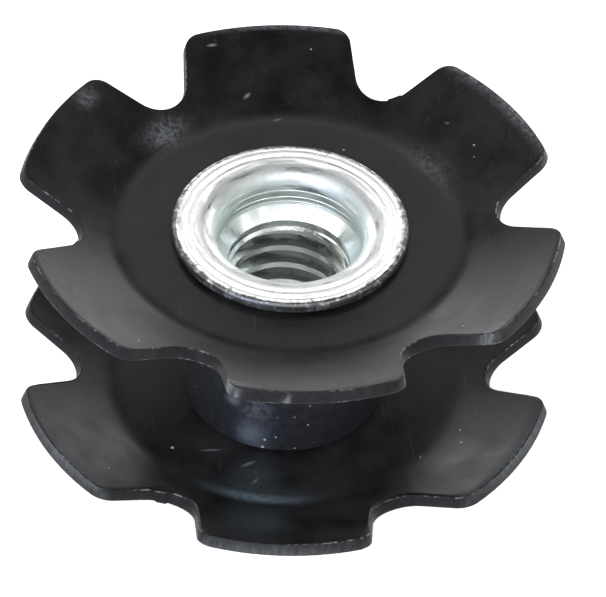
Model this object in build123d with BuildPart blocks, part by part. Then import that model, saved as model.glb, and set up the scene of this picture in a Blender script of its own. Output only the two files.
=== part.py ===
"""Star nut for a threadless headset, in millimetres.

Two dished spring-steel stars are held apart by a spacer sleeve and riveted together by a threaded insert.
+Z runs up the bore, z = 0 is the underside of the insert's shoulder, and a petal of the upper star points to -Y.
"""
from build123d import *
import os
from math import hypot, radians, sin, tan

# Stack along the bore
star_pitch = 8.95
sheet_thickness = 0.55

# Stars
star_diameter = 23.44
petal_count = 6
dish_angle = 23.7
bend_diameter = 14.8
bend_radius = 2.3
notch_bottom_diameter = 17.65
notch_radius = 1.4
notch_angle = 66.0
tip_corner_radius = 0.8
lower_star_turn = -5.5

# Insert: a turned shoulder below, a barrel, and a thin upper wall that is flared out into the head
thread_minor_diameter = 5.0
barrel_wall = 1.2
shoulder_width = 1.1
shoulder_height = 1.2
shoulder_chamfer = 0.25
exit_chamfer_width = 0.7
exit_chamfer_angle = 90.0
flared_wall = 0.57
head_thickness = 0.54
head_chamfer = 0.18
head_land_width = 0.84
mouth_radius = 0.9
counterbore_depth = 1.55
lead_in_angle = 50.0

# Sleeve
sleeve_wall = 0.5
sleeve_chamfer = 0.15

# Fits on the barrel, on the radius, and how far a cut runs past the sheet
star_clearance = 0.05
sleeve_clearance = 0.1
cut_overrun = 1.0

# Radii about the bore, from the thread outwards
bore_radius = thread_minor_diameter / 2
barrel_radius = bore_radius + barrel_wall
shoulder_radius = barrel_radius + shoulder_width
counterbore_radius = barrel_radius - flared_wall
head_radius = counterbore_radius + mouth_radius + head_land_width + head_chamfer
star_hole_radius = barrel_radius + star_clearance
sleeve_bore_radius = barrel_radius + sleeve_clearance

# Heights of the seats
lower_star_seat = shoulder_height
sleeve_seat = lower_star_seat + sheet_thickness
upper_star_seat = lower_star_seat + star_pitch
head_seat = upper_star_seat + sheet_thickness
head_top = head_seat + head_thickness

# The stars' sheet, measured on its upper face from the flat centre out to the tip
tip_radius = star_diameter / 2 - sheet_thickness * sin(radians(dish_angle))
dish_rise = (tip_radius - bend_diameter / 2) * tan(radians(dish_angle))

os.makedirs("parts", exist_ok=True)

# One notch of a star in plan, opening outwards along +X
half_notch_angle = radians(notch_angle / 2)
notch_apex = notch_bottom_diameter / 2 + notch_radius - notch_radius / sin(half_notch_angle)
notch_reach = star_diameter / 2 + cut_overrun
notch_half_mouth = (notch_reach - notch_apex) * tan(half_notch_angle)
with BuildSketch() as notch:
    with BuildLine():
        sides = FilletPolyline(
            (notch_reach, -notch_half_mouth),
            (notch_apex, 0),
            (notch_reach, notch_half_mouth),
            radius=notch_radius,
        )
        Line(sides @ 1, sides @ 0)
    make_face()

# Stars: the sheet is dished by a revolve, notched through, and its petals' corners are rounded
stars = {"lower_star": (lower_star_seat, lower_star_turn), "upper_star": (upper_star_seat, 0)}
for star_name, (seat, turn) in stars.items():
    upper_face = seat + sheet_thickness
    with BuildPart() as star:
        with BuildSketch(Plane.XZ):
            with BuildLine():
                FilletPolyline(
                    (star_hole_radius, upper_face),
                    (bend_diameter / 2, upper_face),
                    (tip_radius, upper_face + dish_rise),
                    radius=bend_radius,
                )
                offset(amount=sheet_thickness, side=Side.RIGHT)
            make_face()
        revolve(axis=Axis.Z)
        with BuildSketch(Plane.XY.offset(seat - cut_overrun)):
            with PolarLocations(0, petal_count, start_angle=turn):
                add(notch.sketch)
        extrude(amount=sheet_thickness + dish_rise + 2 * cut_overrun, mode=Mode.SUBTRACT)
        tips = star.faces().sort_by(lambda face: hypot(face.center().X, face.center().Y))[-petal_count:]
        corners = ShapeList(edge for tip in tips for edge in tip.edges().sort_by(SortBy.LENGTH)[:2])
        fillet(corners, radius=tip_corner_radius)
    star.part.label = star_name
    export_step(star.part, f"parts/{star_name}.step")

# Spacer sleeve, from one star to the other
with BuildPart() as spacer_sleeve:
    with BuildSketch(Plane.XY.offset(sleeve_seat)):
        Circle(sleeve_bore_radius + sleeve_wall)
        Circle(sleeve_bore_radius, mode=Mode.SUBTRACT)
    extrude(amount=upper_star_seat - sleeve_seat)
    outer_rims = spacer_sleeve.edges().filter_by(GeomType.CIRCLE).sort_by(SortBy.RADIUS)[-2:]
    chamfer(outer_rims, length=sleeve_chamfer)
spacer_sleeve.part.label = "spacer_sleeve"
export_step(spacer_sleeve.part, "parts/spacer_sleeve.step")

# Threaded insert: the bore is at the thread's minor diameter
lead_in_top = head_top - counterbore_depth
lead_in_depth = (counterbore_radius - bore_radius) / tan(radians(lead_in_angle / 2))
exit_chamfer_depth = exit_chamfer_width / tan(radians(exit_chamfer_angle / 2))
with BuildPart() as threaded_insert:
    with BuildSketch(Plane.XZ):
        with BuildLine():
            outside = Polyline(
                (bore_radius + exit_chamfer_width, 0),
                (shoulder_radius - shoulder_chamfer, 0),
                (shoulder_radius, shoulder_chamfer),
                (shoulder_radius, shoulder_height - shoulder_chamfer),
                (shoulder_radius - shoulder_chamfer, shoulder_height),
                (barrel_radius, shoulder_height),
                (barrel_radius, head_seat),
                (head_radius, head_seat),
                (head_radius, head_top - head_chamfer),
                (head_radius - head_chamfer, head_top),
            )
            mouth = FilletPolyline(
                outside @ 1,
                (counterbore_radius, head_top),
                (counterbore_radius, lead_in_top),
                radius=mouth_radius,
            )
            Polyline(
                mouth @ 1,
                (bore_radius, lead_in_top - lead_in_depth),
                (bore_radius, exit_chamfer_depth),
                outside @ 0,
            )
        make_face()
    revolve(axis=Axis.Z)
threaded_insert.part.label = "threaded_insert"
export_step(threaded_insert.part, "parts/threaded_insert.step")
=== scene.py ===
"""Star nut for a threadless headset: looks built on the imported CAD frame.

Pieces are modelled in millimetres, with each petal, section or thread form drawn as a chain of edges, and
then scaled to the frame's metres. +Z runs up the bore, and a petal of the upper star points to -Y.
Sizes are in millimetres unless a comment says otherwise.
"""

import math

import bpy
from mathutils import Matrix, Vector


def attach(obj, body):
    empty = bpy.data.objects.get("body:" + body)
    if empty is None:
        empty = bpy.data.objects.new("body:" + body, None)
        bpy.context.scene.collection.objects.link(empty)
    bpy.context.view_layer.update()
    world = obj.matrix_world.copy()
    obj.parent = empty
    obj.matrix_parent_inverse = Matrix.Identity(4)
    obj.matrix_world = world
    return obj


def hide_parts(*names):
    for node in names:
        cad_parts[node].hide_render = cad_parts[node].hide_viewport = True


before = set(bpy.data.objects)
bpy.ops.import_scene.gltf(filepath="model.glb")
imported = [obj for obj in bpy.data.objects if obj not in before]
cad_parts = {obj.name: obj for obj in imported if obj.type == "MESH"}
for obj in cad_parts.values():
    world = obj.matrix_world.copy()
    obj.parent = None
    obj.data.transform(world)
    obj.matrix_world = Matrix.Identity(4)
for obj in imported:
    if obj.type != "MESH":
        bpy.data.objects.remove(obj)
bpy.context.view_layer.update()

MM = 0.001
UP = Vector((0, 0, 1))

# Meshing: how near points are merged or count as on a circle, steps of a full turn, and the angles up to which
# faces shade smooth
MERGE = 0.0005
MIRROR_MERGE = 0.001
PETAL_MERGE = 0.002
ON_CIRCLE = 0.001
TURN_STEPS = 144
SMOOTH_ANGLE = math.radians(35)
INSERT_SMOOTH_ANGLE = math.radians(28)

# Stars: stamped sheet, the same sizes as the CAD solids, with the edges rounded
SHEET = 0.55
STAR_DIAMETER = 23.44
PETALS = 6
DISH_ANGLE = math.radians(23.7)
BEND_RADIUS_IN_PLAN = 7.4
BEND_RADIUS = 2.3
NOTCH_BOTTOM = 8.825
NOTCH_RADIUS = 1.4
NOTCH_ANGLE = math.radians(66.0)
TIP_CORNER = 0.8
STAR_HOLE = 3.75
STAMPED_EDGE = 0.07
STAMPED_EDGE_ANGLE = math.radians(50)
LOWER_STAR_TURN = math.radians(-5.5)
LOWER_STAR_SEAT = 1.2
UPPER_STAR_SEAT = 10.15
FLAT_END = BEND_RADIUS_IN_PLAN - BEND_RADIUS * math.tan(DISH_ANGLE / 2)
BEND_END = FLAT_END + BEND_RADIUS * math.sin(DISH_ANGLE)

# The star's mesh: steps along half a petal's outline, cuts across the petals down to a root just outside the
# bend, and rings from there in to the hole
TIP_STEPS = 14
CORNER_STEPS = 9
SIDE_STEPS = 8
NOTCH_STEPS = 12
PETAL_ROOT = BEND_END + 0.4
PETAL_CUTS = 11
BEND_STEPS = 8
FLAT_RINGS = (6.3, 5.7, 5.1, 4.5, 4.0, STAR_HOLE)

# Punch marks: small steps in the notches, by the notch's azimuth from -Y and the turn round its arc
PUNCH_MARK_TURN = math.radians(36)
PUNCH_MARK_REACH = 0.26
PUNCH_MARK_STEP = 0.1
UPPER_PUNCH_MARK = math.radians(150)
LOWER_PUNCH_MARK = math.radians(-30) + LOWER_STAR_TURN

# Insert: turned section about the bore
BORE = 2.5
BARREL = 3.7
SHOULDER = 4.8
SHOULDER_HEIGHT = 1.2
SHOULDER_CHAMFER = 0.25
EXIT_CHAMFER = 0.7
HEAD = 5.05
HEAD_SEAT = 10.70
HEAD_TOP = 11.24
RIM_ROUND = 0.2
MOUTH_RADIUS = 0.9
COUNTERBORE = 3.13
LEAD_IN_TOP = 9.51
LEAD_IN_FOOT = 9.01
THREAD_LIP = 2.63
THREAD_TOP = 8.60
LIP_HALF_CHAMFER = 0.06
COUNTERBORE_RINGS = (10.34, 9.97, 9.72, 9.62)
LAND_GROOVES = (4.66, 4.27)
GROOVE_WIDTH = 0.022
GROOVE_DEPTH = 0.004
RING_DEPTH = 0.02
RIM_STEPS = 5
MOUTH_STEPS = 14

# Where the insert's finish changes: from one radius to another
GREEN_FILM = (3.7, 3.2)
THREAD_GREYING = (2.54, 2.7)
RIM_PITS = (4.55, 5.0)
DULL_MOUTH = (3.9, 4.15)
SMOOTH_BORE = (2.6, 3.1)
DULL_RIM = (4.85, 5.0)

# Thread: M6, right-hand, cut by a tap that starts below the insert and ends at the thread's top
PITCH = 1.0
MAJOR = 3.0
TAP_CORE = 2.42
FLANK_ANGLE = math.radians(30.0)
THREAD_DROP = 0.24
TAP_FOOT = -0.4
TAP_TURNS = 12
TAP_STEPS = 72

# Sleeve
SLEEVE_BORE = 3.8
SLEEVE_OUTSIDE = 4.3
SLEEVE_CHAMFER = 0.15
SLEEVE_EDGE = 0.04
SLEEVE_EDGE_ANGLE = math.radians(30)
SLEEVE_FOOT = 1.75

# Rubbed places, painted highlights and painted shade on the black pieces: azimuth in degrees from -Y,
# radius, half-sizes round and outwards, and amount
UPPER_STAR_RUBS = (
    (-143.1, 8.0, 0.9, 0.5, 0.6), (-132.0, 11.0, 0.5, 0.35, 0.5), (120.7, 7.5, 1.6, 0.5, 0.18),
    (115.8, 11.45, 2.2, 0.22, 0.8), (131.0, 11.45, 1.5, 0.2, 0.6), (172.5, 11.5, 3.0, 0.15, 0.7),
    (40.0, 11.2, 1.5, 0.3, 0.3), (-20.0, 11.2, 1.2, 0.25, 0.4), (-17.0, 11.66, 0.14, 0.2, 0.4),
    (-6.8, 11.7, 0.12, 0.08, 0.45),
    (3.0, 10.7, 3.0, 0.7, 0.1), (-58.0, 10.6, 3.0, 0.8, 0.06), (56.0, 10.9, 3.0, 0.8, 0.1),
)
# Painted shade: less sheen on the flat and the bend in front of the head, where the head shades the sheet
UPPER_STAR_PAINTED_SHADE = ((-5.0, 5.5, 3.2, 0.8, 0.9), (-5.0, 7.2, 2.4, 0.5, 0.5))
# The first three paint a bluish highlight on the front of the bend, the flat and the front petal; then rubs
LOWER_STAR_RUBS_AND_PAINTED_HIGHLIGHTS = (
    (-14.0, 7.2, 1.8, 0.3, 0.62), (-12.0, 9.2, 1.2, 1.6, 0.14), (-17.0, 5.8, 0.9, 0.9, 0.14),
    (-10.0, 11.65, 4.0, 0.12, 0.22), (55.0, 11.5, 3.0, 0.15, 0.35), (-60.0, 11.5, 3.0, 0.15, 0.3),
    (170.0, 10.5, 1.5, 0.6, 0.4),
)
# The first paints a highlight down the front-left side; the rest are rubs, three along the foot's chamfer
SLEEVE_RUBS_AND_PAINTED_HIGHLIGHT = (
    (-22.5, 4.3, 0.6, 1.0, 0.3), (140.0, 4.3, 1.2, 1.0, 0.35), (-8.5, 4.15, 0.5, 0.05, 1.0),
    (-32.0, 4.15, 0.8, 0.05, 0.7), (22.0, 4.15, 0.7, 0.05, 0.6),
)

# Nicks, worn patches and painted highlights in the black, with ragged edges: centre, turn in degrees,
# half-sizes, and amount. A nick in a star has a half-size along the bore that takes it through the sheet
THROUGH = 50.0
UPPER_STAR_NICKS = (
    ((-2.44, 10.60, 0), 10, (0.3, 0.09, THROUGH), 0.9), ((-1.08, 8.37, 0), 40, (0.28, 0.11, THROUGH), 0.9),
    ((0.14, 7.21, 0), 15, (0.25, 0.08, THROUGH), 0.4), ((7.36, 5.66, 0), -30, (0.14, 0.07, THROUGH), 0.35),
)
LOWER_STAR_NICKS = (
    ((-1.98, -4.85, 0), 25, (0.5, 0.12, THROUGH), 0.5), ((-1.79, -5.90, 0), 50, (0.4, 0.12, THROUGH), 0.5),
    ((-3.47, -3.91, 0), 0, (0.7, 0.09, THROUGH), 0.6),
)
# Painted highlight: two patches on the sleeve's front-left side, one near the foot and one higher up
SLEEVE_PAINTED_HIGHLIGHTS = (
    ((-1.80, -3.91, 2.6), -25, (1.0, 1.0, 1.1), 0.5), ((-2.58, -3.44, 4.3), -37, (0.5, 0.6, 0.5), 0.5),
)

# Camera, as fitted to the photograph: angles, distance and framing on a 606 x 597 image
CAMERA_AZIMUTH = math.radians(-7.483)
CAMERA_ELEVATION = math.radians(43.505)
CAMERA_ROLL = math.radians(2.685)
CAMERA_DISTANCE = 231.66
CAMERA_TARGET = Vector((0, 0, 6.230))
CAMERA_LENS = 319.2
CAMERA_SENSOR = 36.0
CAMERA_SHIFT = (0.02706, 0.01706)
CAMERA_CLIP_START = 10.0

# Studio: the floor's width in metres, the room's tone by the sine of the height above the horizon, and
# softboxes by name, azimuth and elevation in degrees, distance and size in metres, power in watts and colour
FLOOR_WIDTH = 4.0
ROOM_TONES = (
    (0.0, "#ffffff"), (0.10, "#c8c8ca"), (0.30, "#505052"),
    (0.60, "#4c4c4e"), (0.85, "#484848"), (1.0, "#484848"),
)
SOFTBOXES = (
    ("back_softbox", 173, 53, 0.7, (0.42, 0.32), 0.82, "#ffffff"),
    ("back_left_softbox", 209, 12, 0.8, (0.80, 0.24), 2.0, "#ffffff"),
    ("back_right_softbox", 137, 12, 0.8, (0.80, 0.24), 2.0, "#ffffff"),
    ("back_strip", 173, 2.5, 0.8, (0.34, 0.05), 0.25, "#ffffff"),
    ("front_softbox", -8, 40, 0.7, (1.20, 0.28), 3.4, "#ffffff"),
    ("left_back_softbox", -130, 52, 0.7, (0.30, 0.30), 0.16, "#ffffff"),
    ("left_softbox", -78, 34, 0.7, (0.45, 0.30), 0.7, "#ffffff"),
    ("right_softbox", 63, 34, 0.7, (0.45, 0.30), 0.5, "#ffffff"),
    ("low_softbox", -42, 18, 0.7, (0.12, 0.30), 1.6, "#c2d8ff"),
)


def start_point(name, place):
    """Start a new mesh as one vertex, in edit mode, ready to be drawn on from."""
    bpy.context.tool_settings.mesh_select_mode = (True, False, False)
    bpy.ops.object.select_all(action="DESELECT")
    bpy.ops.mesh.primitive_plane_add(size=1, location=(0, 0, 0), enter_editmode=True)
    bpy.context.object.name = name
    bpy.context.object.data.name = name
    bpy.ops.mesh.merge(type="CENTER")
    bpy.ops.transform.translate(value=place)
    return bpy.context.object


def line_by(step, pieces=1):
    """Draw a straight run of edges on from the selected end."""
    for _ in range(pieces):
        bpy.ops.mesh.extrude_region_move(TRANSFORM_OT_translate={"value": Vector(step) / pieces})


def arc_about(centre, angle, steps, axis=UP):
    """Draw an arc of edges on from the selected end, right-handed about the axis."""
    bpy.ops.mesh.spin(steps=steps, angle=-angle, center=centre, axis=axis)


def draw_section(name, points):
    """Draw a closed section in the XZ plane: (radius, height) corners and ("arc", centre, angle, steps)."""
    piece = start_point(name, (points[0][0], 0, points[0][1]))
    here = Vector((points[0][0], 0, points[0][1]))
    for point in points[1:]:
        if point[0] == "arc":
            _, (radius, height), angle, steps = point
            centre = Vector((radius, 0, height))
            arc_about(centre, angle, steps, axis=(0, -1, 0))
            here = centre + Matrix.Rotation(angle, 3, (0, -1, 0)) @ (here - centre)
        else:
            there = Vector((point[0], 0, point[1]))
            line_by(there - here)
            here = there
    bpy.ops.mesh.select_all(action="SELECT")
    bpy.ops.mesh.remove_doubles(threshold=MERGE)
    return piece


def turn_section():
    """Turn the drawn section about the bore into a closed solid."""
    bpy.ops.mesh.select_all(action="SELECT")
    bpy.ops.mesh.spin(steps=TURN_STEPS, angle=math.tau, center=(0, 0, 0), axis=(0, 0, 1))
    bpy.ops.mesh.select_all(action="SELECT")
    bpy.ops.mesh.remove_doubles(threshold=MERGE)
    bpy.ops.mesh.normals_make_consistent(inside=False)
    bpy.ops.object.mode_set(mode="OBJECT")


def apply_modifier(piece, kind, **settings):
    """Add a modifier with its settings and apply it."""
    modifier = piece.modifiers.new(kind.lower(), kind)
    for key, value in settings.items():
        setattr(modifier, key, value)
    bpy.context.view_layer.objects.active = piece
    bpy.ops.object.modifier_apply(modifier=modifier.name)


def to_frame(piece, height=0.0, turn=0.0):
    """Put a finished piece in its place and in metres, with the place kept in its mesh."""
    bpy.ops.object.select_all(action="DESELECT")
    piece.select_set(True)
    bpy.context.view_layer.objects.active = piece
    piece.rotation_euler = (0, 0, turn)
    piece.location = (0, 0, height * MM)
    piece.scale = (MM, MM, MM)
    bpy.ops.object.transform_apply(location=True, rotation=True, scale=True)


def mark_places(piece, name, places):
    """Store each point's wear, painted highlight or painted shade, 0 to 1, for the materials to read."""
    marks = piece.data.attributes.new(name, "FLOAT", "POINT")
    for vertex, mark in zip(piece.data.vertices, marks.data):
        x, y = vertex.co.x / MM, vertex.co.y / MM
        radius = math.hypot(x, y)
        for azimuth, place_radius, half_round, half_out, amount in places:
            turn = math.remainder(math.atan2(x, -y) - math.radians(azimuth), math.tau)
            reach = (turn * place_radius / half_round) ** 2 + ((radius - place_radius) / half_out) ** 2
            mark.value = max(mark.value, amount * math.exp(-reach))


def dish_height(radius):
    """Height of the sheet's upper face over its flat centre."""
    if radius <= FLAT_END:
        return 0.0
    if radius >= BEND_END:
        return (radius - BEND_RADIUS_IN_PLAN) * math.tan(DISH_ANGLE)
    return BEND_RADIUS - math.sqrt(BEND_RADIUS ** 2 - (radius - FLAT_END) ** 2)


def draw_star_outline(name):
    """Draw the star's outline flat: half a petal by arcs and a line, mirrored, then repeated all round."""
    tip = STAR_DIAMETER / 2 - SHEET * math.sin(DISH_ANGLE)
    half_pitch = math.pi / PETALS
    side_angle = half_pitch - NOTCH_ANGLE / 2
    side = Vector((math.cos(side_angle), math.sin(side_angle), 0))
    outward = Vector((-side.y, side.x, 0))
    notch_ray = Vector((math.cos(half_pitch), math.sin(half_pitch), 0))
    notch_centre = notch_ray * (NOTCH_BOTTOM + NOTCH_RADIUS)
    side_end = notch_centre - outward * NOTCH_RADIUS

    # The corner's arc touches the petal's side and, from inside, the tip circle
    base = side_end - outward * TIP_CORNER
    along = base.dot(side)
    run = -along + math.sqrt(along ** 2 - base.length_squared + (tip - TIP_CORNER) ** 2)
    corner_centre = base + side * run
    corner_start = math.atan2(corner_centre.y, corner_centre.x)
    side_normal = math.atan2(outward.y, outward.x)

    star = start_point(name, (tip, 0, 0))
    arc_about((0, 0, 0), corner_start, TIP_STEPS)
    arc_about(corner_centre, side_normal - corner_start, CORNER_STEPS)
    line_by(-side * run, SIDE_STEPS)
    arc_about(notch_centre, -(math.pi / 2 - NOTCH_ANGLE / 2), NOTCH_STEPS)
    bpy.ops.object.mode_set(mode="OBJECT")
    apply_modifier(star, "MIRROR", use_axis=(False, True, False), merge_threshold=MIRROR_MERGE)

    bpy.ops.object.mode_set(mode="EDIT")
    bpy.ops.mesh.select_all(action="SELECT")
    bpy.ops.mesh.spin(steps=PETALS, dupli=True, angle=math.tau, center=(0, 0, 0), axis=(0, 0, 1))
    bpy.ops.mesh.select_all(action="SELECT")
    bpy.ops.mesh.remove_doubles(threshold=PETAL_MERGE)
    return star


def pick_edges(piece, wanted):
    """Select just the wanted edges of a mesh, and go into edit mode with them."""
    bpy.ops.object.mode_set(mode="OBJECT")
    mesh = piece.data
    for elements in (mesh.vertices, mesh.edges, mesh.polygons):
        elements.foreach_set("select", [False] * len(elements))
    for edge in mesh.edges:
        edge.select = wanted(edge)
    bpy.context.tool_settings.mesh_select_mode = (False, True, False)
    bpy.ops.object.mode_set(mode="EDIT")


def ring_in(star, radius):
    """Extrude the selected loop inwards onto a circle."""
    bpy.ops.mesh.extrude_region_move()
    bpy.ops.transform.tosphere(value=1.0)
    star.update_from_editmode()
    now = next(vertex.co.length for vertex in star.data.vertices if vertex.select)
    bpy.ops.transform.resize(value=(radius / now, radius / now, 1), center_override=(0, 0, 0))


def make_star(name, materials):
    """One dished star about the origin: outline, rings in to the hole, dish, thickness and rounded edges."""
    star = draw_star_outline(name)
    ring_in(star, PETAL_ROOT)

    # Rows across the petals, between the outline and the petals' roots
    def at_root(index):
        place = star.data.vertices[index].co
        return abs(math.hypot(place.x, place.y) - PETAL_ROOT) < ON_CIRCLE

    pick_edges(star, lambda edge: at_root(edge.vertices[0]) != at_root(edge.vertices[1]))
    bpy.ops.mesh.subdivide(number_cuts=PETAL_CUTS)
    pick_edges(star, lambda edge: at_root(edge.vertices[0]) and at_root(edge.vertices[1]))

    # Rings through the bend and over the flat centre
    for step in range(BEND_STEPS, -1, -1):
        ring_in(star, FLAT_END + BEND_RADIUS * math.sin(DISH_ANGLE * step / BEND_STEPS))
    for ring in FLAT_RINGS:
        ring_in(star, ring)
    bpy.ops.object.mode_set(mode="OBJECT")
    for vertex in star.data.vertices:
        vertex.co.z = dish_height(math.hypot(vertex.co.x, vertex.co.y))

    bpy.ops.object.mode_set(mode="EDIT")
    bpy.ops.mesh.select_all(action="SELECT")
    bpy.ops.mesh.normals_make_consistent(inside=False)
    bpy.ops.object.mode_set(mode="OBJECT")
    if sum(face.normal.z for face in star.data.polygons) < 0:
        star.data.flip_normals()
    for material in materials:
        star.data.materials.append(material)
    apply_modifier(star, "SOLIDIFY", thickness=SHEET, offset=-1, use_even_offset=True, material_offset_rim=1)
    apply_modifier(
        star, "BEVEL", width=STAMPED_EDGE, segments=3, limit_method="ANGLE", angle_limit=STAMPED_EDGE_ANGLE,
        material=2,
    )
    bpy.ops.object.shade_smooth_by_angle(angle=SMOOTH_ANGLE)
    return star


def copy_star(star, name):
    """A second star from the same tool, with its own mesh."""
    twin = star.copy()
    twin.data = star.data.copy()
    twin.name = name
    twin.data.name = name
    bpy.context.collection.objects.link(twin)
    return twin


def punch_mark(star, notch_azimuth):
    """Push a short stretch of a notch's edge out a little, where two strokes of the punch met."""
    outward = Vector((math.sin(notch_azimuth), -math.cos(notch_azimuth), 0))
    push = Matrix.Rotation(PUNCH_MARK_TURN, 3, UP) @ outward
    spot = (outward * (NOTCH_BOTTOM + NOTCH_RADIUS) - push * NOTCH_RADIUS) * MM
    bpy.context.view_layer.objects.active = star
    pick_edges(star, lambda edge: all(
        (star.data.vertices[index].co - spot).xy.length < PUNCH_MARK_REACH * MM for index in edge.vertices
    ))
    bpy.ops.transform.translate(value=push * PUNCH_MARK_STEP * MM)
    bpy.ops.object.mode_set(mode="OBJECT")


def make_sleeve(material):
    """Spacer sleeve: a plain tube with its ends' edges broken."""
    top = UPPER_STAR_SEAT
    sleeve = draw_section("sleeve_tube", [
        (SLEEVE_BORE, SLEEVE_FOOT),
        (SLEEVE_OUTSIDE - SLEEVE_CHAMFER, SLEEVE_FOOT),
        (SLEEVE_OUTSIDE, SLEEVE_FOOT + SLEEVE_CHAMFER),
        (SLEEVE_OUTSIDE, top - SLEEVE_CHAMFER),
        (SLEEVE_OUTSIDE - SLEEVE_CHAMFER, top),
        (SLEEVE_BORE, top),
        (SLEEVE_BORE, SLEEVE_FOOT),
    ])
    turn_section()
    apply_modifier(
        sleeve, "BEVEL", width=SLEEVE_EDGE, segments=2, limit_method="ANGLE", angle_limit=SLEEVE_EDGE_ANGLE,
    )
    sleeve.data.materials.append(material)
    to_frame(sleeve)
    bpy.ops.object.shade_smooth_by_angle(angle=SMOOTH_ANGLE)
    return sleeve


def make_tap():
    """The tap that cuts the thread: a tooth drawn over one pitch, wound up, and cut square at its ends."""
    half_crest = PITCH / 16
    half_tooth = half_crest + (MAJOR - TAP_CORE) * math.tan(FLANK_ANGLE)
    tap = start_point("tap", (TAP_CORE, 0, -PITCH / 2))
    line_by((0, 0, PITCH / 2 - half_tooth))
    line_by((MAJOR - TAP_CORE, 0, half_tooth - half_crest))
    line_by((0, 0, 2 * half_crest))
    line_by((TAP_CORE - MAJOR, 0, half_tooth - half_crest))
    line_by((0, 0, PITCH / 2 - half_tooth))
    bpy.ops.object.mode_set(mode="OBJECT")
    apply_modifier(
        tap, "SCREW", axis="Z", angle=math.tau, screw_offset=PITCH, iterations=TAP_TURNS, steps=TAP_STEPS,
        render_steps=TAP_STEPS, use_merge_vertices=False, use_smooth_shade=False,
    )
    bpy.ops.object.mode_set(mode="EDIT")
    bpy.ops.mesh.select_all(action="SELECT")
    bpy.ops.mesh.remove_doubles(threshold=MERGE)
    bpy.ops.transform.translate(value=(0, 0, -PITCH - THREAD_DROP))
    for height, keep_above in ((TAP_FOOT, True), (THREAD_TOP, False)):
        bpy.ops.mesh.select_all(action="SELECT")
        bpy.ops.mesh.bisect(
            plane_co=(0, 0, height), plane_no=(0, 0, 1), use_fill=True, clear_inner=keep_above,
            clear_outer=not keep_above,
        )
    bpy.ops.mesh.select_all(action="SELECT")
    bpy.ops.mesh.normals_make_consistent(inside=False)
    bpy.ops.object.mode_set(mode="OBJECT")
    return tap


def make_insert(material):
    """Threaded insert: turned section with its flared head, then the thread cut up its bore."""
    section = [
        (BORE + EXIT_CHAMFER, 0),
        (SHOULDER - SHOULDER_CHAMFER, 0),
        (SHOULDER, SHOULDER_CHAMFER),
        (SHOULDER, SHOULDER_HEIGHT - SHOULDER_CHAMFER),
        (SHOULDER - SHOULDER_CHAMFER, SHOULDER_HEIGHT),
        (BARREL, SHOULDER_HEIGHT),
        (BARREL, HEAD_SEAT),
        (HEAD - RIM_ROUND, HEAD_SEAT),
        ("arc", (HEAD - RIM_ROUND, HEAD_SEAT + RIM_ROUND), math.pi / 2, RIM_STEPS),
        (HEAD, HEAD_TOP - RIM_ROUND),
        ("arc", (HEAD - RIM_ROUND, HEAD_TOP - RIM_ROUND), math.pi / 2, RIM_STEPS),
    ]
    for groove in LAND_GROOVES:
        section += [
            (groove + GROOVE_WIDTH, HEAD_TOP),
            (groove, HEAD_TOP - GROOVE_DEPTH),
            (groove - GROOVE_WIDTH, HEAD_TOP),
        ]
    section += [
        (COUNTERBORE + MOUTH_RADIUS, HEAD_TOP),
        ("arc", (COUNTERBORE + MOUTH_RADIUS, HEAD_TOP - MOUTH_RADIUS), math.pi / 2, MOUTH_STEPS),
    ]
    for ring in COUNTERBORE_RINGS:
        section += [
            (COUNTERBORE, ring - GROOVE_WIDTH),
            (COUNTERBORE + RING_DEPTH, ring - 2 * GROOVE_WIDTH),
            (COUNTERBORE, ring - 3 * GROOVE_WIDTH),
        ]
    section += [
        (COUNTERBORE, LEAD_IN_TOP),
        (THREAD_LIP, LEAD_IN_FOOT),
        (THREAD_LIP, THREAD_TOP + LIP_HALF_CHAMFER),
        (BORE, THREAD_TOP - LIP_HALF_CHAMFER),
        (BORE, EXIT_CHAMFER),
        (BORE + EXIT_CHAMFER, 0),
    ]
    insert = draw_section("zinc_insert", section)
    turn_section()
    tap = make_tap()
    apply_modifier(insert, "BOOLEAN", object=tap, operation="DIFFERENCE", solver="EXACT")
    bpy.data.objects.remove(tap)
    insert.data.materials.clear()
    insert.data.materials.append(material)
    to_frame(insert)
    bpy.ops.object.shade_smooth_by_angle(angle=INSERT_SMOOTH_ANGLE)
    return insert


def linear(hex_colour):
    """An sRGB hex colour as the linear RGBA that a socket takes."""
    channels = [int(hex_colour[i:i + 2], 16) / 255 for i in (1, 3, 5)]
    return [c / 12.92 if c <= 0.04045 else ((c + 0.055) / 1.055) ** 2.4 for c in channels] + [1.0]


def add_node(tree, kind, inputs=None, **settings):
    """Add a node with its settings; an input is a value or another node's socket."""
    node = tree.nodes.new(kind)
    for key, value in settings.items():
        setattr(node, key, value)
    for socket, value in (inputs or {}).items():
        if isinstance(value, bpy.types.NodeSocket):
            tree.links.new(value, node.inputs[socket])
        else:
            node.inputs[socket].default_value = value
    return node


def new_material(name):
    """An empty material and its node tree."""
    material = bpy.data.materials.new(name)
    material.use_nodes = True
    material.node_tree.nodes.clear()
    return material, material.node_tree


def pale_specks(tree, place, spacing, share, largest):
    """Scattered pale specks, 1 on a speck and 0 elsewhere: the largest is given as a share of the spacing."""
    cells = add_node(tree, "ShaderNodeTexVoronoi", {"Vector": place, "Scale": 1 / (spacing * MM)})
    lot = add_node(tree, "ShaderNodeSeparateColor", {"Color": cells.outputs["Color"]})
    chosen = add_node(tree, "ShaderNodeMath", {0: lot.outputs["Red"], 1: share}, operation="LESS_THAN")
    size = add_node(tree, "ShaderNodeMath", {0: lot.outputs["Green"], 1: largest}, operation="MULTIPLY")
    near = add_node(tree, "ShaderNodeMath", {
        0: cells.outputs["Distance"], 1: size.outputs["Value"],
    }, operation="LESS_THAN")
    speck = add_node(tree, "ShaderNodeMath", {
        0: chosen.outputs["Value"], 1: near.outputs["Value"],
    }, operation="MULTIPLY")
    return speck.outputs["Value"]


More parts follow.
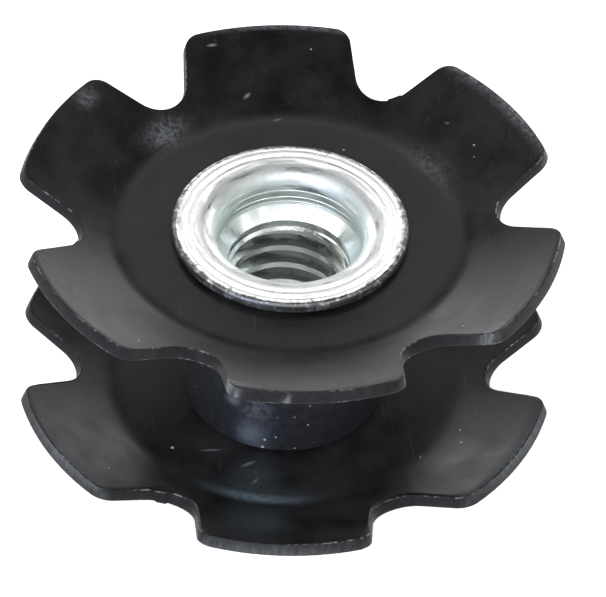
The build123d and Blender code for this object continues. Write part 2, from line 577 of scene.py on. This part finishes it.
def rubs_nicks_and_painted_highlights(tree, place, mottle, cloud, evenness, nicks_and_painted_highlights):
    """Wear and painted highlight, 0 to 1: rubs broken by the mottle, nicked patches made ragged by the cloud."""
    rub_and_painted_highlight = add_node(tree, "ShaderNodeAttribute", attribute_name="rub_and_painted_highlight", attribute_type="GEOMETRY")
    broken = add_node(tree, "ShaderNodeMapRange", {
        "Value": mottle, "From Min": 0.38, "From Max": 0.62, "To Min": evenness, "To Max": 1.0,
    })
    rubbed_and_painted_highlight = add_node(tree, "ShaderNodeMath", {
        0: rub_and_painted_highlight.outputs["Fac"], 1: broken.outputs["Result"],
    }, operation="MULTIPLY")
    # Nicks, and on the sleeve patches of painted highlight, each ragged at its edge
    for centre, turn, half_sizes, amount in nicks_and_painted_highlights:
        local = add_node(tree, "ShaderNodeMapping", {
            "Vector": place, "Location": Vector(centre) * MM, "Rotation": (0, 0, math.radians(turn)),
            "Scale": Vector(half_sizes) * MM,
        }, vector_type="TEXTURE")
        reach = add_node(tree, "ShaderNodeVectorMath", {0: local.outputs["Vector"]}, operation="LENGTH")
        ragged = add_node(tree, "ShaderNodeMath", {0: reach.outputs["Value"], 1: cloud}, operation="ADD")
        nick_and_painted_highlight = add_node(tree, "ShaderNodeMapRange", {
            "Value": ragged.outputs["Value"], "From Min": 1.6, "From Max": 0.35,
            "To Min": 0.0, "To Max": amount,
        }, interpolation_type="SMOOTHSTEP")
        rubbed_and_painted_highlight = add_node(tree, "ShaderNodeMath", {
            0: rubbed_and_painted_highlight.outputs["Value"], 1: nick_and_painted_highlight.outputs["Result"],
        }, operation="MAXIMUM")
    return rubbed_and_painted_highlight.outputs["Value"]


def black_oxide_sheet(name, bare_steel_and_highlight, smooth, dull, evenness, nicks_and_painted_highlights):
    """Spring steel sheet, blackened: satin near-black, clouded, scratched and grained, worn grey in places.

    A few pale specks lie on it, and painted shade lowers its sheen in places. The roughness runs from smooth
    to dull with the clouds, and the steel colour given serves for worn places and painted highlights alike.
    """
    material, tree = new_material(name)
    place = add_node(tree, "ShaderNodeTexCoord").outputs["Object"]
    cloud = add_node(tree, "ShaderNodeTexNoise", {
        "Vector": place, "Scale": 1 / (2.2 * MM), "Detail": 6.0, "Roughness": 0.6,
    })
    mottle = add_node(tree, "ShaderNodeTexNoise", {
        "Vector": place, "Scale": 1 / (0.2 * MM), "Detail": 5.0, "Roughness": 0.65,
    })
    blotches = add_node(tree, "ShaderNodeMapRange", {
        "Value": cloud.outputs["Fac"], "From Min": 0.34, "From Max": 0.66,
    })
    tone = add_node(tree, "ShaderNodeMix", {
        "Factor": blotches.outputs["Result"], "A": linear("#101010"), "B": linear("#272627"),
    }, data_type="RGBA")

    # Fine handling scratches, all at one slant
    slant = add_node(tree, "ShaderNodeMapping", {
        "Vector": place, "Rotation": (0, 0, math.radians(35)), "Scale": (1, 0.05, 1),
    })
    scratch = add_node(tree, "ShaderNodeTexNoise", {
        "Vector": slant.outputs["Vector"], "Scale": 1 / (0.16 * MM), "Detail": 2.0,
    })
    scratched = add_node(tree, "ShaderNodeMapRange", {
        "Value": scratch.outputs["Fac"], "From Min": 0.68, "From Max": 0.78, "To Min": 0.0, "To Max": 0.16,
    })
    lined = add_node(tree, "ShaderNodeMix", {
        "Factor": scratched.outputs["Result"], "A": tone.outputs["Result"], "B": linear("#77797d"),
    }, data_type="RGBA")

    rubbed_and_painted_highlight = rubs_nicks_and_painted_highlights(tree, place, mottle.outputs["Fac"], cloud.outputs["Fac"], evenness, nicks_and_painted_highlights)
    greyed = add_node(tree, "ShaderNodeMix", {
        "Factor": rubbed_and_painted_highlight, "A": lined.outputs["Result"], "B": linear(bare_steel_and_highlight),
    }, data_type="RGBA")
    speck = pale_specks(tree, place, spacing=0.9, share=0.28, largest=0.09)
    colour = add_node(tree, "ShaderNodeMix", {
        "Factor": speck, "A": greyed.outputs["Result"], "B": linear("#b9b9b6"),
    }, data_type="RGBA")
    gloss = add_node(tree, "ShaderNodeMapRange", {
        "Value": cloud.outputs["Fac"], "From Min": 0.3, "From Max": 0.7, "To Min": smooth, "To Max": dull,
    })
    bump = add_node(tree, "ShaderNodeBump", {
        "Height": mottle.outputs["Fac"], "Strength": 0.4, "Distance": 0.018 * MM,
    })
    # Painted shade: where marked in front of the head, the sheen drops to a quarter
    grime_and_painted_shade = add_node(tree, "ShaderNodeAttribute", attribute_name="grime_and_painted_shade", attribute_type="GEOMETRY")
    sheen = add_node(tree, "ShaderNodeMapRange", {
        "Value": grime_and_painted_shade.outputs["Fac"], "To Min": 0.24, "To Max": 0.06,
    })
    shader = add_node(tree, "ShaderNodeBsdfPrincipled", {
        "Base Color": colour.outputs["Result"], "Roughness": gloss.outputs["Result"],
        "Normal": bump.outputs["Normal"], "Specular IOR Level": sheen.outputs["Result"],
    })
    add_node(tree, "ShaderNodeOutputMaterial", {"Surface": shader.outputs["BSDF"]})
    return material


def sheared_edge():
    """Sheared sheet edge: near-black, with fine streaks where the punch dragged, worn pale in places."""
    material, tree = new_material("spring_steel_sheared_edge")
    place = add_node(tree, "ShaderNodeTexCoord").outputs["Object"]
    along = add_node(tree, "ShaderNodeMapping", {"Vector": place, "Scale": (1, 1, 0.12)})
    streaks = add_node(tree, "ShaderNodeTexNoise", {
        "Vector": along.outputs["Vector"], "Scale": 1 / (0.18 * MM), "Detail": 4.0,
    })
    dragged = add_node(tree, "ShaderNodeMapRange", {
        "Value": streaks.outputs["Fac"], "From Min": 0.2, "From Max": 0.8,
    })
    black = add_node(tree, "ShaderNodeMix", {
        "Factor": dragged.outputs["Result"], "A": linear("#08080a"), "B": linear("#1a1b1d"),
    }, data_type="RGBA")
    rubbed_and_painted_highlight = rubs_nicks_and_painted_highlights(
        tree, place, streaks.outputs["Fac"], streaks.outputs["Fac"], evenness=0.55, nicks_and_painted_highlights=(),
    )
    tone = add_node(tree, "ShaderNodeMix", {
        "Factor": rubbed_and_painted_highlight, "A": black.outputs["Result"], "B": linear("#b4b7ba"),
    }, data_type="RGBA")
    bump = add_node(tree, "ShaderNodeBump", {
        "Height": streaks.outputs["Fac"], "Strength": 0.25, "Distance": 0.015 * MM,
    })
    shader = add_node(tree, "ShaderNodeBsdfPrincipled", {
        "Base Color": tone.outputs["Result"], "Roughness": 0.5, "Normal": bump.outputs["Normal"],
        "Specular IOR Level": 0.2,
    })
    add_node(tree, "ShaderNodeOutputMaterial", {"Surface": shader.outputs["BSDF"]})
    return material


def rubbed_edge():
    """Rounded stamped edge: black, worn through to grey steel in spots along some stretches."""
    material, tree = new_material("spring_steel_rubbed_edge")
    place = add_node(tree, "ShaderNodeTexCoord").outputs["Object"]
    spots = add_node(tree, "ShaderNodeTexNoise", {"Vector": place, "Scale": 1 / (0.22 * MM), "Detail": 4.0})
    stretches = add_node(tree, "ShaderNodeTexNoise", {
        "Vector": place, "Scale": 1 / (2.0 * MM), "Detail": 2.0,
    })
    bare_steel_and_highlight = add_node(tree, "ShaderNodeMapRange", {
        "Value": spots.outputs["Fac"], "From Min": 0.46, "From Max": 0.62,
    })
    handled = add_node(tree, "ShaderNodeMapRange", {
        "Value": stretches.outputs["Fac"], "From Min": 0.45, "From Max": 0.65, "To Min": 0.03, "To Max": 0.8,
    })
    worn = add_node(tree, "ShaderNodeMath", {
        0: bare_steel_and_highlight.outputs["Result"], 1: handled.outputs["Result"],
    }, operation="MULTIPLY")
    tone = add_node(tree, "ShaderNodeMix", {
        "Factor": worn.outputs["Value"], "A": linear("#161617"), "B": linear("#9a9b9d"),
    }, data_type="RGBA")
    shader = add_node(tree, "ShaderNodeBsdfPrincipled", {
        "Base Color": tone.outputs["Result"], "Roughness": 0.5, "Specular IOR Level": 0.3,
    })
    add_node(tree, "ShaderNodeOutputMaterial", {"Surface": shader.outputs["BSDF"]})
    return material


def black_oxide_tube():
    """Blackened steel tube: clouded near-black, many pale specks, worn places and a painted bluish highlight."""
    material, tree = new_material("steel_tube_black_oxide")
    place = add_node(tree, "ShaderNodeTexCoord").outputs["Object"]
    cloud = add_node(tree, "ShaderNodeTexNoise", {
        "Vector": place, "Scale": 1 / (0.3 * MM), "Detail": 5.0, "Roughness": 0.65,
    })
    tone = add_node(tree, "ShaderNodeMix", {
        "Factor": cloud.outputs["Fac"], "A": linear("#0f0f11"), "B": linear("#3a3c41"),
    }, data_type="RGBA")
    rubbed_and_painted_highlight = rubs_nicks_and_painted_highlights(
        tree, place, cloud.outputs["Fac"], cloud.outputs["Fac"], evenness=0.2, nicks_and_painted_highlights=SLEEVE_PAINTED_HIGHLIGHTS,
    )
    # Worn places and the painted highlight share one bluish steel grey
    greyed = add_node(tree, "ShaderNodeMix", {
        "Factor": rubbed_and_painted_highlight, "A": tone.outputs["Result"], "B": linear("#8d97a6"),
    }, data_type="RGBA")
    speck = pale_specks(tree, place, spacing=0.45, share=0.5, largest=0.17)
    colour = add_node(tree, "ShaderNodeMix", {
        "Factor": speck, "A": greyed.outputs["Result"], "B": linear("#c4c6c8"),
    }, data_type="RGBA")
    bump = add_node(tree, "ShaderNodeBump", {
        "Height": cloud.outputs["Fac"], "Strength": 0.3, "Distance": 0.01 * MM,
    })
    shader = add_node(tree, "ShaderNodeBsdfPrincipled", {
        "Base Color": colour.outputs["Result"], "Roughness": 0.32, "Normal": bump.outputs["Normal"],
    })
    add_node(tree, "ShaderNodeOutputMaterial", {"Surface": shader.outputs["BSDF"]})
    return material


def bright_zinc():
    """Turned steel, bright zinc plate: silvery, with fine rings, brushed streaks, a green bore and dark pits."""
    material, tree = new_material("turned_steel_bright_zinc")
    place = add_node(tree, "ShaderNodeTexCoord").outputs["Object"]
    parts = add_node(tree, "ShaderNodeSeparateXYZ", {"Vector": place})
    flat = add_node(tree, "ShaderNodeCombineXYZ", {"X": parts.outputs["X"], "Y": parts.outputs["Y"]})
    radius = add_node(tree, "ShaderNodeVectorMath", {0: flat.outputs["Vector"]}, operation="LENGTH")
    turned = add_node(tree, "ShaderNodeCombineXYZ", {"X": radius.outputs["Value"], "Y": parts.outputs["Z"]})
    rings = add_node(tree, "ShaderNodeTexNoise", {
        "Vector": turned.outputs["Vector"], "Scale": 1 / (0.11 * MM), "Detail": 3.0, "Roughness": 0.6,
    })

    def by_radius(zone, start, end):
        """A value that runs from start to end across a zone of radii."""
        return add_node(tree, "ShaderNodeMapRange", {
            "Value": radius.outputs["Value"], "From Min": zone[0] * MM, "From Max": zone[1] * MM,
            "To Min": start, "To Max": end,
        }).outputs["Result"]

    # Brushed streaks: long along the turning, short across it
    around = add_node(tree, "ShaderNodeVectorMath", {0: flat.outputs["Vector"]}, operation="NORMALIZE")
    wide = add_node(tree, "ShaderNodeVectorMath", {
        0: around.outputs["Vector"], "Scale": 1.2 * MM,
    }, operation="SCALE")
    depth = add_node(tree, "ShaderNodeMath", {
        0: radius.outputs["Value"], 1: parts.outputs["Z"],
    }, operation="SUBTRACT")
    across = add_node(tree, "ShaderNodeCombineXYZ", {"Z": depth.outputs["Value"]})
    narrow = add_node(tree, "ShaderNodeVectorMath", {
        0: across.outputs["Vector"], "Scale": 3.5,
    }, operation="SCALE")
    brushed_place = add_node(tree, "ShaderNodeVectorMath", {
        0: wide.outputs["Vector"], 1: narrow.outputs["Vector"],
    }, operation="ADD")
    brushed = add_node(tree, "ShaderNodeTexNoise", {
        "Vector": brushed_place.outputs["Vector"], "Scale": 1 / (0.5 * MM), "Detail": 6.0, "Roughness": 0.65,
    })
    grain = add_node(tree, "ShaderNodeTexNoise", {"Vector": place, "Scale": 1 / (0.09 * MM), "Detail": 3.0})
    pits = add_node(tree, "ShaderNodeTexNoise", {
        "Vector": place, "Scale": 1 / (0.35 * MM), "Detail": 6.0, "Roughness": 0.7,
    })
    silver = add_node(tree, "ShaderNodeMix", {
        "Factor": grain.outputs["Fac"], "A": linear("#e6e8e7"), "B": linear("#fbfcfb"),
    }, data_type="RGBA")
    streaked = add_node(tree, "ShaderNodeMapRange", {
        "Value": brushed.outputs["Fac"], "From Min": 0.46, "From Max": 0.68, "To Min": 0.0, "To Max": 0.4,
    })
    grey = add_node(tree, "ShaderNodeMix", {
        "Factor": streaked.outputs["Result"], "A": silver.outputs["Result"], "B": linear("#a3a7a6"),
    }, data_type="RGBA")

    # The passivation film is thicker, and greener, down the bore
    tone = add_node(tree, "ShaderNodeMix", {
        "Factor": by_radius(GREEN_FILM, 0.0, 0.6), "A": grey.outputs["Result"], "B": linear("#eef7f3"),
    }, data_type="RGBA")

    # Below the thread's top all but the crests is greyer, and the rim has picked up dark pits
    below = add_node(tree, "ShaderNodeMath", {
        0: parts.outputs["Z"], 1: THREAD_TOP * MM,
    }, operation="LESS_THAN")
    in_thread = add_node(tree, "ShaderNodeMath", {
        0: by_radius(THREAD_GREYING, 0.0, 0.75), 1: below.outputs["Value"],
    }, operation="MULTIPLY")
    greyed_below_thread_top = add_node(tree, "ShaderNodeMix", {
        "Factor": in_thread.outputs["Value"], "A": tone.outputs["Result"], "B": linear("#b8bab9"),
    }, data_type="RGBA")
    pitted = add_node(tree, "ShaderNodeMath", {
        0: pits.outputs["Fac"], 1: by_radius(RIM_PITS, 0.0, 0.34),
    }, operation="ADD")
    grime_and_painted_shade = add_node(tree, "ShaderNodeMapRange", {
        "Value": pitted.outputs["Value"], "From Min": 0.68, "From Max": 0.82, "To Min": 0.0, "To Max": 0.8,
    })
    colour = add_node(tree, "ShaderNodeMix", {
        "Factor": grime_and_painted_shade.outputs["Result"], "A": greyed_below_thread_top.outputs["Result"], "B": linear("#4c4a48"),
    }, data_type="RGBA")

    # Roughness: streaked, duller in the mouth and on the rim, and smoother down the bore
    gloss = add_node(tree, "ShaderNodeMapRange", {
        "Value": brushed.outputs["Fac"], "From Min": 0.38, "From Max": 0.64, "To Min": 0.16, "To Max": 0.42,
    })
    worked = add_node(tree, "ShaderNodeMath", {
        0: by_radius(DULL_MOUTH, 1.7, 1.0), 1: by_radius(SMOOTH_BORE, 0.4, 1.0),
    }, operation="MULTIPLY")
    handled = add_node(tree, "ShaderNodeMath", {
        0: worked.outputs["Value"], 1: by_radius(DULL_RIM, 1.0, 1.9),
    }, operation="MULTIPLY")
    dull = add_node(tree, "ShaderNodeMath", {
        0: gloss.outputs["Result"], 1: handled.outputs["Value"],
    }, operation="MULTIPLY")
    ring_bump = add_node(tree, "ShaderNodeBump", {
        "Height": rings.outputs["Fac"], "Strength": 0.07, "Distance": 0.01 * MM,
    })
    bump = add_node(tree, "ShaderNodeBump", {
        "Height": grain.outputs["Fac"], "Strength": 0.2, "Distance": 0.01 * MM,
        "Normal": ring_bump.outputs["Normal"],
    })
    shader = add_node(tree, "ShaderNodeBsdfPrincipled", {
        "Base Color": colour.outputs["Result"], "Metallic": 1.0, "Roughness": dull.outputs["Value"],
        "Normal": bump.outputs["Normal"],
    })
    add_node(tree, "ShaderNodeOutputMaterial", {"Surface": shader.outputs["BSDF"]})
    return material


def white_board():
    """Opal acrylic board, lit from below: an even white with hardly a shadow."""
    material, tree = new_material("opal_acrylic_light_table")
    place = add_node(tree, "ShaderNodeTexCoord").outputs["Object"]
    mottle = add_node(tree, "ShaderNodeTexNoise", {"Vector": place, "Scale": 1 / (30 * MM), "Detail": 2.0})
    tone = add_node(tree, "ShaderNodeMix", {
        "Factor": mottle.outputs["Fac"], "A": linear("#f4f4f3"), "B": linear("#f7f7f6"),
    }, data_type="RGBA")
    shader = add_node(tree, "ShaderNodeBsdfPrincipled", {
        "Base Color": tone.outputs["Result"], "Roughness": 0.9,
        "Emission Color": tone.outputs["Result"], "Emission Strength": 0.8,
    })
    add_node(tree, "ShaderNodeOutputMaterial", {"Surface": shader.outputs["BSDF"]})
    return material


def make_floor():
    """A wide white board that the part stands on."""
    bpy.ops.object.select_all(action="DESELECT")
    bpy.ops.mesh.primitive_plane_add(size=FLOOR_WIDTH, location=(0, 0, 0))
    floor = bpy.context.object
    floor.name = "floor"
    floor.data.materials.append(white_board())


def direction(azimuth, elevation):
    """Unit vector from the part to a place round it, by azimuth from -Y and elevation in radians."""
    level = math.cos(elevation)
    return Vector((math.sin(azimuth) * level, -math.cos(azimuth) * level, math.sin(elevation)))


def add_softbox(name, azimuth, elevation, distance, size, power, colour):
    """An area light aimed at the part, placed by its direction from the part."""
    light = bpy.data.lights.new(name, "AREA")
    light.shape = "RECTANGLE"
    light.size, light.size_y = size
    light.energy = power
    light.color = linear(colour)[:3]
    lamp = bpy.data.objects.new(name, light)
    bpy.context.collection.objects.link(lamp)
    away = direction(math.radians(azimuth), math.radians(elevation))
    lamp.location = CAMERA_TARGET * MM + away * distance
    lamp.rotation_euler = away.to_track_quat("Z", "Y").to_euler()


def make_studio():
    """Soft studio light: bright walls at the horizon, dim above them, and softboxes."""
    world = bpy.data.worlds.new("studio")
    bpy.context.scene.world = world
    world.use_nodes = True
    tree = world.node_tree
    tree.nodes.clear()
    sight = add_node(tree, "ShaderNodeTexCoord").outputs["Generated"]
    height = add_node(tree, "ShaderNodeSeparateXYZ", {"Vector": sight})
    walls = add_node(tree, "ShaderNodeValToRGB", {"Fac": height.outputs["Z"]})
    walls.color_ramp.elements[0].color = linear(ROOM_TONES[0][1])
    walls.color_ramp.elements[1].color = linear(ROOM_TONES[-1][1])
    for height_share, tone in ROOM_TONES[1:-1]:
        walls.color_ramp.elements.new(height_share).color = linear(tone)
    background = add_node(tree, "ShaderNodeBackground", {"Color": walls.outputs["Color"]})
    add_node(tree, "ShaderNodeOutputWorld", {"Surface": background.outputs["Background"]})
    for softbox in SOFTBOXES:
        add_softbox(*softbox)
    bpy.context.scene.view_settings.view_transform = "Standard"


def make_camera():
    """Camera at the photograph's angle."""
    back = direction(CAMERA_AZIMUTH, CAMERA_ELEVATION)
    level = Vector((math.cos(CAMERA_AZIMUTH), math.sin(CAMERA_AZIMUTH), 0))
    upright = back.cross(level)
    right = level * math.cos(CAMERA_ROLL) + upright * math.sin(CAMERA_ROLL)
    up = upright * math.cos(CAMERA_ROLL) - level * math.sin(CAMERA_ROLL)
    lens = bpy.data.cameras.new("camera")
    lens.lens = CAMERA_LENS
    lens.sensor_width = CAMERA_SENSOR
    lens.sensor_fit = "HORIZONTAL"
    lens.shift_x, lens.shift_y = CAMERA_SHIFT
    lens.clip_start = CAMERA_CLIP_START * MM
    camera = bpy.data.objects.new("camera", lens)
    bpy.context.collection.objects.link(camera)
    place = (CAMERA_TARGET + back * CAMERA_DISTANCE) * MM
    camera.matrix_world = Matrix.Translation(place) @ Matrix((right, up, back)).transposed().to_4x4()
    bpy.context.scene.camera = camera


def dress(piece, node):
    """Let a finished piece ride on the part and stand for its CAD node."""
    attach(piece, "root")
    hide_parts(node)


cut_edge = sheared_edge()
rounded_edge = rubbed_edge()
upper_sheet = black_oxide_sheet(
    "spring_steel_black_oxide", bare_steel_and_highlight="#9b9ea0", smooth=0.28, dull=0.40, evenness=0.15,
    nicks_and_painted_highlights=UPPER_STAR_NICKS,
)
# The lower sheet's bluish steel colour also paints the highlight marked on its bend, flat and front petal
lower_sheet = black_oxide_sheet(
    "spring_steel_black_oxide_oiled", bare_steel_and_highlight="#8497a5", smooth=0.32, dull=0.50, evenness=0.6,
    nicks_and_painted_highlights=LOWER_STAR_NICKS,
)
upper_star = make_star("upper_star_sheet", (upper_sheet, cut_edge, rounded_edge))
lower_star = copy_star(upper_star, "lower_star_sheet")
lower_star.data.materials[0] = lower_sheet
to_frame(upper_star, UPPER_STAR_SEAT + SHEET, -math.pi / 2)
to_frame(lower_star, LOWER_STAR_SEAT + SHEET, LOWER_STAR_TURN - math.pi / 2)
punch_mark(upper_star, UPPER_PUNCH_MARK)
punch_mark(lower_star, LOWER_PUNCH_MARK)
sleeve = make_sleeve(black_oxide_tube())
insert = make_insert(bright_zinc())
# Wear, painted highlights on the lower star and the sleeve, and painted shade in front of the upper star's head
mark_places(upper_star, "rub_and_painted_highlight", UPPER_STAR_RUBS)
mark_places(upper_star, "grime_and_painted_shade", UPPER_STAR_PAINTED_SHADE)
mark_places(lower_star, "rub_and_painted_highlight", LOWER_STAR_RUBS_AND_PAINTED_HIGHLIGHTS)
mark_places(sleeve, "rub_and_painted_highlight", SLEEVE_RUBS_AND_PAINTED_HIGHLIGHT)
dress(upper_star, "upper_star")
dress(lower_star, "lower_star")
dress(sleeve, "spacer_sleeve")
dress(insert, "threaded_insert")
make_floor()
make_studio()
make_camera()
